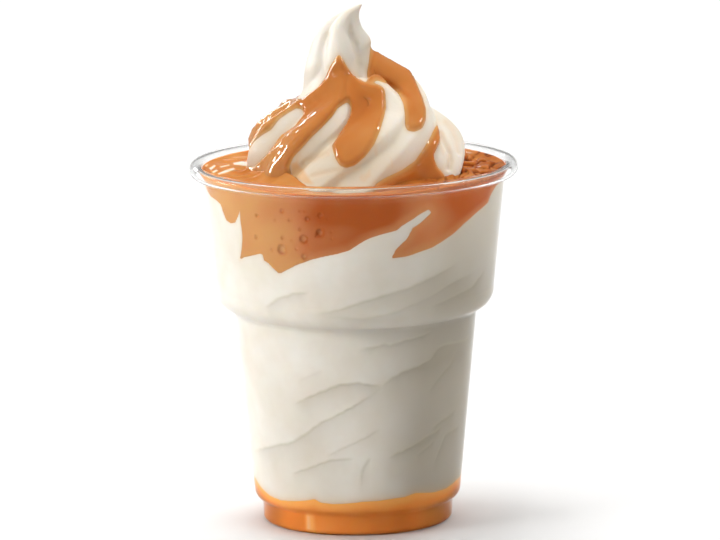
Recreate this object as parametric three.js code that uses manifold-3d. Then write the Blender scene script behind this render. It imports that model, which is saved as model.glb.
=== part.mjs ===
// A caramel sundae in its clear plastic cup: soft-serve ice cream over a layer of caramel sauce,
// piped into a swirl of nine twisted ridges that ends in a hooked tip, with more sauce pooled
// round the swirl and run down its grooves.
//
// Millimetres, +Z up, origin at the middle of the cup's foot, front of the sundae at -Y.
// Angles are in degrees round the cup: 0 is the front, 90 the right, 180 the back, -90 the left.

import * as THREE from "three";
import { mergeVertices } from "three/addons/utils/BufferGeometryUtils.js";
import Module from "manifold-3d";

const wasm = await Module();
wasm.setup();

// ---------------------------------------------------------------- driving dimensions

const SEGMENTS = 48; // facets round the cup, shared by all that fills it
const WALL = 0.7; // cup wall
const GAP = 0.3; // clearance between the cup, the ice cream and the sauce
const FINEST = 0.04; // what is smaller than this is smoothed away
const LAP = 0.2; // how far the lengths of a stream of sauce reach into each other

const RIM_R = 47.5;
const CUP_HEIGHT = 105;
const CURL_R = 1.9; // outer radius of the rolled rim
const MOUTH_Z = 99.5; // where the wall starts to flare into the rim
const MOUTH_R = 43.4;

const SHOULDER = { r: 34.2, z: 68, radius: 6, from: -80, to: 6 }; // bulge under the upper wall
const NECK_R = 35; // lower wall, right under the shoulder
const NECK_Z = 60.8;

const STEP = { r: 26.9, z: 9.2, radius: 3, from: -65, to: 0 }; // small bulge over the foot
const FOOT_TOP_R = 27.6;
const FOOT_TOP_Z = 5.6;
const FOOT_CORNER = 1.6;
const FOOT_R = 27.4;
const FOOT_INNER_R = 20;
const RECESS = 1.5; // how far the middle of the underside is pushed up
const RECESS_R = 18.5;

const POOL_LEVEL = 103; // top of the sauce round the swirl
const POOL_FLARE = 0.9; // how much wider it is there than the cup's mouth
const MOUND_R = 26; // ice cream where it leaves the sauce, under the ridges
const MOUND_TOP = 99;
const MOUND_STEPS = [0.2, 0.46, 0.72, 1];
const MOUND_HOLLOW = 1.6; // above 1 the mound's slope is hollow
const SAUCE_LINE = 98; // upper sauce's lower edge on the wall, between its runs
// Runs of sauce down the inside of the wall: angle, depth, and how far each side takes to fade out.
const SAUCE_RUNS = [
  { at: -56, depth: 7, left: 16, right: 5 },
  { at: -31, depth: 20, left: 19, right: 52 },
  { at: 20, depth: 14, left: 8, right: 62 },
  { at: 112, depth: 13, left: 26, right: 14 },
  { at: 150, depth: 19, left: 30, right: 22 },
  { at: -148, depth: 11, left: 30, right: 12 },
  { at: -112, depth: 15, left: 26, right: 16 },
];
const BASE_SAUCE = { level: 11.7, tilt: 1.9, high: 95, ripple: 0.4 }; // lower sauce's wavy top edge
const BASE_SAUCE_R = 15; // the level middle of its top

// A ridge's way up the swirl to its end inside it, or to the horn instead of the last two rows:
// [share of the twist, distance from the cup's axis, height, half width, how far it faces up]
const SKIRT = [
  [0, 28.8, 95, 8, 0],
  [0.14, 30.8, 104, 8.4, 4],
  [0.3, 30.5, 110.4, 8, 14],
  [0.46, 28, 115.4, 7.4, 30],
  [0.64, 23, 120.2, 6.5, 42],
  [0.82, 16.8, 124.4, 5.5, 46],
  [0.96, 11, 127.6, 4.6, 40],
  [1.08, 4, 126, 4, 60],
];
// The horn: [height, distance of its middle to the left, distance of its ridges from there, half width]
const HORN = [
  [131.4, 3.6, 10.4, 4.8],
  [136, 3.4, 9.4, 4.4],
  [140.4, 3.4, 7.9, 3.6],
  [144.4, 3, 5.6, 2.6],
  [148, 1.4, 3, 1.6],
  [150.4, -1.6, 0.4, 0.6],
];
const HORN_TURN = -20; // twist of the ridges along the horn, against that of the skirt
const HORN_LIFT = 0.25; // how far they face up
const RIDGE_SIDES = 8;
const RIDGE_SHARPNESS = 1.4; // 1 is round, and more brings its edge out
const RIDGE_ROOT = 0.3; // depth of a ridge's inner side, for each unit of its outer one
const HORN_JOIN = 4; // least height between a ridge's last place on the skirt and its first on the horn
// The ridges in their order round the cup: angle at the bottom, twist, how far the end hooks back,
// how much higher than SKIRT it ends, how much further out it stands at the bottom and at the top,
// and the side of the horn that it runs up, if it does.
const RIDGES = [
  { base: -116, twist: 26, hook: 0, rise: -2, low: 0.2, high: 0 },
  { base: -70, twist: 30, hook: 22, rise: -2.5, low: -0.2, high: 0 },
  { base: -44, twist: 44, hook: 0, rise: 1, low: -0.2, high: -0.4, horn: 22 },
  { base: -17, twist: 90, hook: 34, rise: 3.4, low: 0, high: 2.5 },
  { base: 4, twist: 112, hook: 0, rise: 6.4, low: 0.2, high: 2.4, horn: 100 },
  { base: 48, twist: 96, hook: 0, rise: -0.5, low: 2.4, high: 0.4 },
  { base: 98, twist: 96, hook: 0, rise: 1, low: 0.4, high: 0, horn: 190 },
  { base: 146, twist: 90, hook: 0, rise: -1, low: 0.3, high: 0 },
  { base: 196, twist: 80, hook: 0, rise: 0, low: 0, high: -2, horn: 275 },
];
const HOOK_START = 0.6; // share of the twist
// What fills the middle of the swirl: [distance to the left of the axis, radius, height].
const CORE_SIDES = 16;
const CORE = [
  [0, 25.5, 94],
  [0, 25.5, 106],
  [0, 24.4, 112],
  [0.4, 20.6, 117],
  [1.4, 15.5, 121],
  [3, 11, 126],
  [3.8, 7.6, 132],
  [3.8, 6, 138],
  [3.2, 3.6, 143],
  [1.6, 1.5, 147],
];
// The sauce on the swirl: which ridge it starts from, how far it lies towards the next one at the
// top and at the bottom, its reach in shares of the twist, and its half widths from top to bottom.
// Some start on the horn, at an angle and a height on it.
const STREAMS = [
  { ridge: 0, towards: [0.8, 0.3], shares: [0.84, 0.06], widths: [3, 4, 4, 4, 3.6] },
  { ridge: 1, towards: [0.75, 0.5], shares: [0.9, 0], widths: [4.6, 4.4, 4.4, 4.8, 6], horn: [-14, 137.4] },
  { ridge: 2, towards: [0.4, 0.78], shares: [0.96, 0.2], widths: [5, 5.4, 5.4, 5.8, 5.6, 2.4] },
  { ridge: 3, towards: [0.6, 0.68], shares: [0.9, 0.42], widths: [6, 5.4, 4.6, 4.2, 2], horn: [78, 141] },
  { ridge: 4, towards: [0.16, 0.4], shares: [0.46, 0], widths: [1, 2.2, 3.4, 5, 7] },
  { ridge: 5, towards: [0.5, 0.5], shares: [0.92, 0], widths: [2.4, 3.4, 4, 4.4, 6], horn: [134, 139] },
  { ridge: 6, towards: [0.5, 0.6], shares: [0.94, 0.24], widths: [4, 4.4, 4.2, 4.6, 2.4] },
  { ridge: 7, towards: [0.5, 0.5], shares: [0.86, 0], widths: [2.6, 3.6, 4, 4.6, 6.4] },
];
// The sauce round the horn's foot that the streams run from: [angle on the horn, height, half width].
const COLLAR = [
  [-30, 129, 4],
  [10, 128.6, 3],
  [40, 128.8, 1.6],
  [70, 131.6, 3],
  [110, 133, 3.4],
  [150, 131.6, 3],
  [200, 130, 3],
];
const STREAM_THICKNESS = 1.5;
const STREAM_TIP = 1; // half width where a stream starts on the horn
const STREAM_DEPTH = 7; // how far a stream's own solid reaches either side of its middle
const STREAM_SUNK = 2.1; // how far its middle lies under the ridges' crests
const GROOVE_FILL = 2.4; // how much deeper the sauce is in the swirl's grooves

// ---------------------------------------------------------------- shared helpers

const radians = THREE.MathUtils.degToRad;

// A point at an angle round the cup, a distance from its axis and a height.
function around(angle, r, z) {
  const a = radians(angle);
  return new THREE.Vector3(r * Math.sin(a), -r * Math.cos(a), z);
}

function arc(circle, inset, steps) {
  const points = [];
  for (let i = 0; i <= steps; i++) {
    const a = radians(THREE.MathUtils.lerp(circle.from, circle.to, i / steps));
    const r = circle.radius - inset;
    points.push([circle.r + r * Math.cos(a), circle.z + r * Math.sin(a)]);
  }
  return points;
}

// A closed solid from a geometry whose faces may still point inwards.
function solid(geometry) {
  const bare = new THREE.BufferGeometry();
  bare.setAttribute("position", geometry.getAttribute("position"));
  bare.setIndex(geometry.index);
  const merged = mergeVertices(bare, 1e-4);
  const make = (triangles) =>
    new wasm.Manifold(
      new wasm.Mesh({
        numProp: 3,
        vertProperties: new Float32Array(merged.attributes.position.array),
        triVerts: triangles,
      }),
    );
  const triangles = new Uint32Array(merged.index.array);
  const made = make(triangles);
  return made.volume() > 0 ? made : make(triangles.reverse());
}

function centre(points) {
  const sum = points.reduce((total, point) => total.add(point), new THREE.Vector3());
  return sum.divideScalar(points.length);
}

// The solid between two closed ends and a stack of rings with equal numbers of points.
function loft(rings) {
  const count = rings[0].length;
  const points = rings.flat();
  const index = [];
  for (let j = 0; j + 1 < rings.length; j++) {
    for (let i = 0; i < count; i++) {
      const [a, b] = [j * count + i, j * count + ((i + 1) % count)];
      index.push(a, b, b + count, a, b + count, a + count);
    }
  }
  for (const j of [0, rings.length - 1]) {
    points.push(centre(rings[j]));
    for (let i = 0; i < count; i++) {
      const edge = [j * count + ((i + 1) % count), j * count + i];
      index.push(points.length - 1, ...(j === 0 ? edge : edge.reverse()));
    }
  }
  return solid(new THREE.BufferGeometry().setFromPoints(points).setIndex(index));
}

// A solid of revolution whose profile may change with the angle: profile(angle) gives [r, z] pairs.
function turned(profile) {
  const columns = [];
  for (let i = 0; i < SEGMENTS; i++) {
    const angle = (360 * i) / SEGMENTS;
    columns.push(profile(angle).map(([r, z]) => around(angle, r, z)));
  }
  return loft(columns[0].map((_, j) => columns.map((column) => column[j])));
}

function geometryOf(manifold) {
  const { vertProperties, triVerts } = manifold.getMesh();
  const geometry = new THREE.BufferGeometry();
  geometry.setAttribute("position", new THREE.BufferAttribute(vertProperties, 3));
  geometry.setIndex(new THREE.BufferAttribute(triVerts, 1));
  geometry.computeVertexNormals();
  return geometry;
}

// The same solid without the slivers that joining and cutting leave.
const smoothed = (manifold) => manifold.simplify(FINEST);

const largest = (manifold) =>
  manifold.decompose().reduce((a, b) => (a.volume() > b.volume() ? a : b));

// ---------------------------------------------------------------- the cup

// The cup's side from foot to mouth, moved inwards from its outer surface.
function side(inset) {
  return [
    [FOOT_R - inset, FOOT_CORNER],
    [FOOT_TOP_R - inset, FOOT_TOP_Z + inset * 0.6],
    ...arc(STEP, inset, 2),
    [NECK_R - inset, NECK_Z + inset * 0.5],
    ...arc(SHOULDER, inset, 3),
    [MOUTH_R - inset, MOUTH_Z],
  ];
}

// The rolled rim, seen as a circle in the cup's section.
function curl(radius, from, to, steps) {
  const circle = { r: RIM_R - CURL_R, z: CUP_HEIGHT - CURL_R, radius, from, to };
  return arc(circle, 0, steps);
}

function cup() {
  const profile = [
    [0, RECESS],
    [RECESS_R, RECESS],
    [FOOT_INNER_R, 0],
    [FOOT_R - FOOT_CORNER, 0],
    [FOOT_R - FOOT_CORNER * 0.3, FOOT_CORNER * 0.3],
    ...side(0),
    ...curl(CURL_R - WALL, 180, -90, 4),
    ...curl(CURL_R, -90, 180, 6),
    ...side(WALL).reverse(),
    [FOOT_R - FOOT_CORNER, WALL],
    [FOOT_INNER_R, WALL],
    [RECESS_R, RECESS + WALL],
    [0, RECESS + WALL],
  ];
  const points = profile.map(([r, z]) => new THREE.Vector2(r, z));
  const lathe = new THREE.LatheGeometry(points, SEGMENTS);
  // LatheGeometry turns about Y and starts at +Z: this puts its first seam at the front.
  return solid(lathe.rotateX(Math.PI / 2));
}

// ---------------------------------------------------------------- what fills the cup

// Height of the upper sauce's lower edge on the wall.
function sauceLine(angle) {
  let depth = 0;
  for (const run of SAUCE_RUNS) {
    const off = ((angle - run.at + 540) % 360) - 180;
    const reach = off < 0 ? run.left : run.right;
    const share = Math.max(0, 1 - Math.abs(off) / reach);
    depth = Math.max(depth, run.depth * share);
  }
  return SAUCE_LINE - depth;
}

// Height of the lower sauce's upper edge on the wall.
function baseLine(angle) {
  const { level, tilt, high, ripple } = BASE_SAUCE;
  return level + tilt * Math.cos(radians(angle - high)) + ripple * Math.sin(radians(3 * angle + 40));
}

// The side of what fills the cup, between two heights.
function fillSide(low, high) {
  const points = side(WALL + GAP);
  const at = (z) => {
    const above = points.findIndex((point) => point[1] > z);
    const [[r0, z0], [r1, z1]] = [points[above - 1], points[above]];
    return [r0 + ((r1 - r0) * (z - z0)) / (z1 - z0), z];
  };
  return [at(low), ...points.filter(([, z]) => z > low && z < high), at(high)];
}

function baseSauce() {
  return turned((angle) => [
    [RECESS_R - 1, RECESS + WALL + GAP],
    [FOOT_R - FOOT_CORNER, WALL + GAP],
    ...fillSide(FOOT_CORNER, baseLine(angle) - GAP / 2),
    [BASE_SAUCE_R, BASE_SAUCE.level - GAP],
  ]);
}

// The ice cream up to the mound under the swirl, its top grown by one distance and its side by another.
function body(growTop, growSide) {
  return turned((angle) => {
    const line = sauceLine(angle) + growTop;
    const wall = fillSide(baseLine(angle) + GAP / 2, line);
    const [[wallR]] = wall.slice(-1);
    const mound = MOUND_STEPS.map((share) => [
      THREE.MathUtils.lerp(wallR, MOUND_R, share) + growTop,
      THREE.MathUtils.lerp(line, MOUND_TOP + growTop, share ** MOUND_HOLLOW),
    ]);
    return [[BASE_SAUCE_R, BASE_SAUCE.level], ...wall.map(([r, z]) => [r + growSide, z]), ...mound];
  });
}

// ---------------------------------------------------------------- the swirl

// The row of a table at a value of its first column, worked out from the rows either side.
function rowAt(table, value) {
  const after = table.findIndex((row) => row[0] >= value);
  const next = after < 0 ? table.length - 1 : Math.max(1, after);
  const [from, to] = [table[next - 1], table[next]];
  const share = (value - from[0]) / (to[0] - from[0]);
  return from.map((number, i) => THREE.MathUtils.lerp(number, to[i], share));
}

// A place on a ridge's crest: where it is, which way it faces, and the ridge's half width there.
function onSkirt(ridge, share) {
  const [, r, z, half, lift] = rowAt(SKIRT, share);
  const hooked = Math.max(0, (share - HOOK_START) / (1 - HOOK_START));
  const angle = ridge.base + ridge.twist * share - ridge.hook * hooked ** 2;
  return {
    at: around(angle, r + THREE.MathUtils.lerp(ridge.low, ridge.high, share), z + ridge.rise * share),
    face: around(angle, Math.cos(radians(lift)), Math.sin(radians(lift))),
    half,
  };
}

function onHorn(angle, height) {
  const [z, left, r, half] = rowAt(HORN, height);
  const [foot, tip] = [HORN[0][0], HORN[HORN.length - 1][0]];
  const turned = angle + (HORN_TURN * (height - foot)) / (tip - foot);
  return {
    at: around(turned, r, z).add(new THREE.Vector3(-left, 0, 0)),
    face: around(turned, 1, HORN_LIFT),
    half,
  };
}

// The rings of a section swept through places, turned at each to the way it faces.
// section(a, half) gives [outwards, sideways] for an angle a round the section.
function sweep(places, steps, sides, section) {
  const through = (points) => new THREE.CatmullRomCurve3(points, false, "catmullrom", 0.5);
  const crest = through(places.map((place) => place.at));
  const facing = through(places.map((place) => place.face));
  const halves = through(places.map((place) => new THREE.Vector3(place.half, 0, 0)));
  const rings = [];
  for (let i = 0; i <= steps; i++) {
    const t = i / steps;
    const along = crest.getTangent(t);
    const out = facing.getPoint(t);
    out.addScaledVector(along, -out.dot(along)).normalize();
    const across = new THREE.Vector3().crossVectors(along, out);
    const ring = [];
    for (let k = 0; k < sides; k++) {
      const [o, s] = section((2 * Math.PI * k) / sides, halves.getPoint(t).x);
      ring.push(crest.getPoint(t).addScaledVector(out, o).addScaledVector(across, s));
    }
    rings.push(ring);
  }
  return rings;
}

// A ridge is a soft wedge with its edge on the crest.
function ridge(shape, grow) {
  const places = SKIRT.map(([share]) => onSkirt(shape, share));
  if (shape.horn !== undefined) {
    places.splice(-2);
    const foot = places[places.length - 1].at.z + HORN_JOIN;
    const heights = HORN.map(([height]) => height).filter((height) => height > foot);
    places.push(...heights.map((height) => onHorn(shape.horn, height)));
  }
  const section = (a, half) => {
    const outwards = Math.cos(a) * (Math.cos(a) > 0 ? 1 : RIDGE_ROOT);
    const sideways = Math.sign(Math.sin(a)) * Math.abs(Math.sin(a)) ** RIDGE_SHARPNESS;
    return [(half + grow) * outwards - half, (half + grow) * sideways];
  };
  return loft(sweep(places, places.length, RIDGE_SIDES, section));
}

// The swirl, grown by a distance all over and by a further one in its grooves.
function swirl(grow, growGrooves = 0) {
  const core = CORE.map(([left, r, z]) => {
    const ring = [];
    for (let k = 0; k < CORE_SIDES; k++) {
      const angle = (360 * k) / CORE_SIDES;
      ring.push(around(angle, r + grow + growGrooves, z + grow).add(new THREE.Vector3(-left, 0, 0)));
    }
    return ring;
  });
  return wasm.Manifold.union([loft(core), ...RIDGES.map((shape) => ridge(shape, grow))]);
}

// ---------------------------------------------------------------- the upper sauce

// A stretch of the swirl that sauce lies on, as a solid tall enough to reach through its surface.
function stretch(places) {
  // Six points, of which two on either side stand at the full half width.
  const section = (a, half) => {
    return [STREAM_DEPTH * Math.cos(a) - STREAM_SUNK, (half * Math.sin(a)) / Math.sin(Math.PI / 3)];
  };
  // Made of lengths that lap, because the bends are too tight for one loft.
  const rings = sweep(places, places.length - 1, 6, section);
  const lengths = rings.slice(1).map((ring, i) => {
    const ahead = centre(ring).sub(centre(rings[i])).setLength(LAP);
    const start = rings[i].map((point) => point.clone().sub(ahead).toArray());
    return wasm.Manifold.hull([...start, ...ring.map((point) => point.clone().add(ahead).toArray())]);
  });
  return wasm.Manifold.union(lengths);
}

function stream({ ridge: first, towards, shares, widths, horn }) {
  const [a, b] = [RIDGES[first], RIDGES[first + 1]];
  const places = widths.map((half, i) => {
    const down = i / (widths.length - 1);
    const mix = THREE.MathUtils.lerp(...towards, down);
    const between = {};
    for (const key of ["base", "twist", "hook", "rise", "low", "high"]) {
      between[key] = THREE.MathUtils.lerp(a[key], b[key], mix);
    }
    return { ...onSkirt(between, THREE.MathUtils.lerp(...shares, down)), half };
  });
  if (horn) {
    places.unshift({ ...onHorn(...horn), half: STREAM_TIP });
  }
  return stretch(places);
}

// The sauce round the swirl and down its grooves, clear of the ice cream.
function topSauce() {
  const [shoulder, mouth] = side(WALL + GAP).slice(-2);
  const flare = [mouth[0] + POOL_FLARE, POOL_LEVEL];
  const pool = turned(() => [shoulder, mouth, flare]);
  const cover = swirl(GAP + STREAM_THICKNESS, GROOVE_FILL);
  const collar = stretch(COLLAR.map(([angle, height, half]) => ({ ...onHorn(angle, height), half })));
  const streams = wasm.Manifold.union([collar, ...STREAMS.map(stream)]);
  const sauce = pool.add(streams.intersect(cover));
  return largest(smoothed(sauce.subtract(body(GAP, 2)).subtract(swirl(GAP))));
}

// ---------------------------------------------------------------- the scene graph

const MATERIALS = {
  cup: { color: 0xf2f4f4, roughness: 0.05, transparent: true, opacity: 0.3 },
  soft_serve: { color: 0xf3ecdd, roughness: 0.55 },
  caramel_base: { color: 0xc8661c, roughness: 0.15 },
  caramel_topping: { color: 0xc47a38, roughness: 0.12 },
};

function node(name, manifold) {
  const mesh = new THREE.Mesh(
    geometryOf(manifold),
    new THREE.MeshStandardMaterial({ metalness: 0, ...MATERIALS[name] }),
  );
  mesh.name = name;
  return mesh;
}

const sundae = new THREE.Group();
sundae.add(
  node("cup", cup()),
  node("caramel_base", baseSauce()),
  node("soft_serve", smoothed(body(0, 0).add(swirl(0)))),
  node("caramel_topping", topSauce()),
);

export default sundae;
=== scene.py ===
"""A caramel sundae in its clear plastic cup: the visible pieces, their materials, camera and light.

Lengths are in millimetres and are turned into metres where a mesh is made. Angles are in degrees round
the cup: 0 is the front (-Y), 90 the right (+X), 180 the back, -90 the left. What is given in pixels is
a place in the picture of 720 x 540 that the camera takes.
"""

import math

import bpy
import numpy as np
from mathutils import Matrix, Vector, noise
from mathutils.bvhtree import BVHTree


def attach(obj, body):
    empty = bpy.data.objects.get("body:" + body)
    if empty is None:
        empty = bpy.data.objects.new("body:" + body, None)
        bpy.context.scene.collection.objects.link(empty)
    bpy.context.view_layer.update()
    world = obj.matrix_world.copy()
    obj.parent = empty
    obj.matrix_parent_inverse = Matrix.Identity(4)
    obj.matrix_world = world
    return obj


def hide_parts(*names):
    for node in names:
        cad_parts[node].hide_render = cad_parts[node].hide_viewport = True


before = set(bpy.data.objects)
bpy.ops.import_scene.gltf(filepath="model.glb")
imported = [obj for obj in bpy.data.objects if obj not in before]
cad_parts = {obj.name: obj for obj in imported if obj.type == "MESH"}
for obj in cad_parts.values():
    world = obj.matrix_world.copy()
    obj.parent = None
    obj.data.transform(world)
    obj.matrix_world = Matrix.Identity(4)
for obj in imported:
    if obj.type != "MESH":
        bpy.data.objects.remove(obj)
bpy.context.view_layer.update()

MM = 0.001

# ------------ camera

PICTURE = (720, 540)  # pixels
SENSOR = 36.0
FAR_CLIP = 20.0  # metres
MM_PER_PIXEL = 0.29  # at the cup's axis
CAMERA_AT = (10.43, -2000.0, 436.55)
CAMERA_AIM = (1.461, 0.0, 72.85)
CAMERA_ROLL = -0.709
FOCAL_PIXELS = 7029.7


def camera_axes():
    """The camera's right, up and forward directions."""
    forward = np.subtract(CAMERA_AIM, CAMERA_AT)
    forward /= np.linalg.norm(forward)
    right = np.cross(forward, (0, 0, 1))
    right /= np.linalg.norm(right)
    up = np.cross(right, forward)
    roll = math.radians(CAMERA_ROLL)
    turned_right = right * math.cos(roll) + up * math.sin(roll)
    return turned_right, up * math.cos(roll) - right * math.sin(roll), forward


def to_picture(points):
    """Where points fall in the picture, in pixels from its top left corner."""
    right, up, forward = camera_axes()
    offset = np.asarray(points) - CAMERA_AT
    depth = offset @ forward
    x = PICTURE[0] / 2 + FOCAL_PIXELS * (offset @ right) / depth
    y = PICTURE[1] / 2 - FOCAL_PIXELS * (offset @ up) / depth
    return np.stack([x, y], -1)


def make_camera():
    data = bpy.data.cameras.new("camera")
    data.sensor_width = SENSOR
    data.lens = FOCAL_PIXELS * SENSOR / PICTURE[0]
    data.clip_end = FAR_CLIP
    camera = bpy.data.objects.new("camera", data)
    right, up, forward = camera_axes()
    axes = Matrix((right, up, -forward)).transposed()
    camera.matrix_world = Matrix.Translation(Vector(CAMERA_AT) * MM) @ axes.to_4x4()
    bpy.context.scene.collection.objects.link(camera)
    bpy.context.scene.camera = camera


# ------------ shared helpers


def around(angle, r, z):
    """Points at an angle round the axis, a distance from it and a height."""
    a = np.radians(angle)
    r, z, a = np.broadcast_arrays(r, z, a)
    return np.stack([r * np.sin(a), -r * np.cos(a), z], -1)


def within_turn(angle):
    """The same angle, from -180 to 180."""
    return (angle + 180) % 360 - 180


def mix(first, second, share):
    return first + (second - first) * share


def smoothstep(low, high, value):
    """0 up to the low end, 1 from the high end, and smooth between; the low end may be the greater."""
    t = np.clip((value - low) / (high - low), 0, 1)
    return t * t * (3 - 2 * t)


def bell(away, width):
    """1 in the middle, falling to 0 over a few widths."""
    return np.exp(-((away / width) ** 2))


def fading(away, most, width):
    """A value that falls off from its most at an edge, with the distance from there."""
    return most * np.exp(-np.maximum(0, away) / width)


def through(points, shares):
    """A smooth curve through points, at shares of its way from the first to the last."""
    points = np.asarray(points, float)
    ends = (2 * points[:1] - points[1:2], points, 2 * points[-1:] - points[-2:-1])
    padded = np.concatenate(ends)
    place = np.clip(shares, 0, 1) * (len(points) - 1)
    i = np.minimum(place.astype(int), len(points) - 2)
    f = (place - i).reshape((-1,) + (1,) * (points.ndim - 1))
    p0, p1, p2, p3 = (padded[i + k] for k in range(4))
    cubic = (3 * (p1 - p2) + p3 - p0) * f + (2 * p0 - 5 * p1 + 4 * p2 - p3)
    return p1 + 0.5 * f * (p2 - p0 + f * cubic)


def noise_at(points, scale, shift=0.0):
    """A smooth noise from about -1 to 1 at points in millimetres."""
    flat = np.asarray(points).reshape(-1, 3) * scale + shift
    values = np.array([noise.noise(Vector(point)) for point in flat])
    return values.reshape(np.shape(points)[:-1])


def from_line(x, y, line):
    """Distances of points from a line, and which side of its parts they are on."""
    best = np.full(np.shape(x), np.inf)
    part = np.zeros(np.shape(x))
    for (x0, y0), (x1, y1) in zip(line[:-1], line[1:]):
        dx, dy = x1 - x0, y1 - y0
        t = np.clip(((x - x0) * dx + (y - y0) * dy) / (dx * dx + dy * dy + 1e-12), 0, 1)
        away = np.hypot(x - x0 - t * dx, y - y0 - t * dy)
        nearer = away < best
        part = np.where(nearer, np.sign(dx * (y - y0) - dy * (x - x0)), part)
        best = np.where(nearer, away, best)
    return best, part


def under_line(x, y, line):
    """True for points with an odd number of the line's parts at greater y."""
    under = np.zeros(np.shape(x), bool)
    for (x0, y0), (x1, y1) in zip(line[:-1], line[1:]):
        if x0 != x1:
            t = (x - x0) / (x1 - x0)
            under ^= (t >= 0) & (t < 1) & (y0 + t * (y1 - y0) > y)
    return under


def outline_distance(at, outline):
    """Distances of picture points from an outline, more than 0 inside it."""
    line = [*outline, outline[0]]
    x, y = at[:, 0], at[:, 1]
    away, _ = from_line(x, y, line)
    return np.where(under_line(x, y, line), away, -away)


def grid_faces(rows, columns):
    """Quads between rows of points that each run right round."""
    i, j = np.meshgrid(np.arange(columns), np.arange(rows - 1))
    a = j * columns + i
    b = j * columns + (i + 1) % columns
    return np.stack([a, b, b + columns, a + columns], -1).reshape(-1, 4)


def closed_rings(rings):
    """Points and faces of a solid through rings, with a fan of triangles on its two ends."""
    rings = np.asarray(rings)
    rows, columns = rings.shape[:2]
    points = np.concatenate([rings.reshape(-1, 3), [rings[0].mean(0)], [rings[-1].mean(0)]])
    low, high = rows * columns, rows * columns + 1
    step = np.arange(columns)
    after = (step + 1) % columns
    last = (rows - 1) * columns
    faces = grid_faces(rows, columns).tolist()
    faces += np.stack([np.full(columns, low), after, step], -1).tolist()
    faces += np.stack([np.full(columns, high), last + step, last + after], -1).tolist()
    return points, faces


def make_object(name, points, faces):
    mesh = bpy.data.meshes.new(name)
    mesh.from_pydata((points * MM).tolist(), [], faces)
    mesh.shade_smooth()
    made = bpy.data.objects.new(name, mesh)
    bpy.context.scene.collection.objects.link(made)
    return made


def set_attribute(thing, name, values):
    layer = thing.data.attributes.new(name, "FLOAT", "POINT")
    layer.data.foreach_set("value", np.asarray(values, np.float32))


def ring_object(name, angles, low, middle, high, attributes):
    """A solid through rings: level ones given by radius and height, those in the middle, more level ones.

    The attributes are those of the middle's points, and 0 at the others.
    """
    rings = [around(angles, r, z) for r, z in low] + [*middle] + [around(angles, r, z) for r, z in high]
    made = make_object(name, *closed_rings(rings))
    before, after = np.zeros((len(low), len(angles))), np.zeros((len(high), len(angles)))
    for key, values in attributes.items():
        set_attribute(made, key, [*np.concatenate([before, values, after]).ravel(), 0, 0])
    return made


# ------------ the cup

WALL = 0.7
RIM_R = 47.5
CUP_HEIGHT = 105.0
CURL_R = 1.9
MOUTH_Z = 99.5
MOUTH_R = 43.4
SHOULDER = {"r": 34.2, "z": 68.0, "radius": 6.0, "start": -80, "end": 6, "steps": 16}
NECK_R = 35.0
NECK_Z = 60.8
STEP = {"r": 26.9, "z": 9.2, "radius": 3.0, "start": -65, "end": 0, "steps": 8}
FOOT_TOP_R = 27.6
FOOT_TOP_Z = 5.6
FOOT_R = 27.4
CORNER_R = 1.6
CORNER = {"r": FOOT_R - CORNER_R, "z": CORNER_R, "radius": CORNER_R, "start": -90, "end": 0, "steps": 5}
FOOT_INNER_R = 20.0
RECESS = 1.5
RECESS_R = 18.5
HUB_R = 2.0
CUP_SEGMENTS = 256


def arc(circle, inset=0):
    a = np.radians(np.linspace(circle["start"], circle["end"], circle["steps"] + 1))
    r = circle["radius"] - inset
    return np.stack([circle["r"] + r * np.cos(a), circle["z"] + r * np.sin(a)], -1)


def side(inset):
    """The cup's side from foot to mouth, moved inwards from its outer surface."""
    return np.concatenate([
        arc(CORNER, inset)[:-1],
        [[FOOT_R - inset, CORNER_R]],
        [[FOOT_TOP_R - inset, FOOT_TOP_Z + inset * 0.6]],
        arc(STEP, inset),
        [[NECK_R - inset, NECK_Z + inset * 0.5]],
        arc(SHOULDER, inset),
        [[MOUTH_R - inset, MOUTH_Z]],
    ])


def curl(radius, start, end, steps):
    """Part of the rolled rim's section."""
    circle = {"r": RIM_R - CURL_R, "z": CUP_HEIGHT - CURL_R, "radius": radius}
    return arc({**circle, "start": start, "end": end, "steps": steps})


def make_cup():
    profile = np.concatenate([
        [[HUB_R, RECESS], [RECESS_R, RECESS], [FOOT_INNER_R, 0]],
        side(0),
        curl(CURL_R - WALL, 180, -90, 24),
        curl(CURL_R, -90, 180, 32),
        side(WALL)[::-1],
        [[FOOT_INNER_R, WALL], [RECESS_R, RECESS + WALL], [HUB_R, RECESS + WALL]],
    ])
    angles = np.arange(CUP_SEGMENTS) * 360 / CUP_SEGMENTS
    return make_object("cup_wall", *closed_rings([around(angles, r, z) for r, z in profile]))


# ------------ what fills the cup

EMBED = 0.4  # how far the contents reach into the wall, so that no air shows between them
FOLD_LIMIT = 0.36  # the deepest fold in the ice cream, still inside the wall
UPPER_R = 43.0  # the wall's radius at the upper sauce
BUBBLES_R = 42.0
FOLDS_R = 36.0
LOWER_R = 30.0  # and at the lower sauce
SAUCE_LINE = 95.0  # height of the upper sauce's edge between its runs, on the hidden wall
# The lower sauce's edge on the hidden wall: its height, how far it tilts up, towards which angle, its waves.
BASE_SAUCE = {"level": 11.7, "tilt": 1.9, "high": 95, "ripple": 0.4}
# Where the upper sauce runs down the hidden wall: the angle, how deep, how far it spreads left and right.
SAUCE_RUNS = [
    (-56, 7, 16, 5), (-31, 20, 19, 52), (20, 14, 8, 62), (112, 13, 26, 14), (150, 19, 30, 22),
    (-148, 11, 30, 12), (-112, 15, 26, 16),
]
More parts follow.
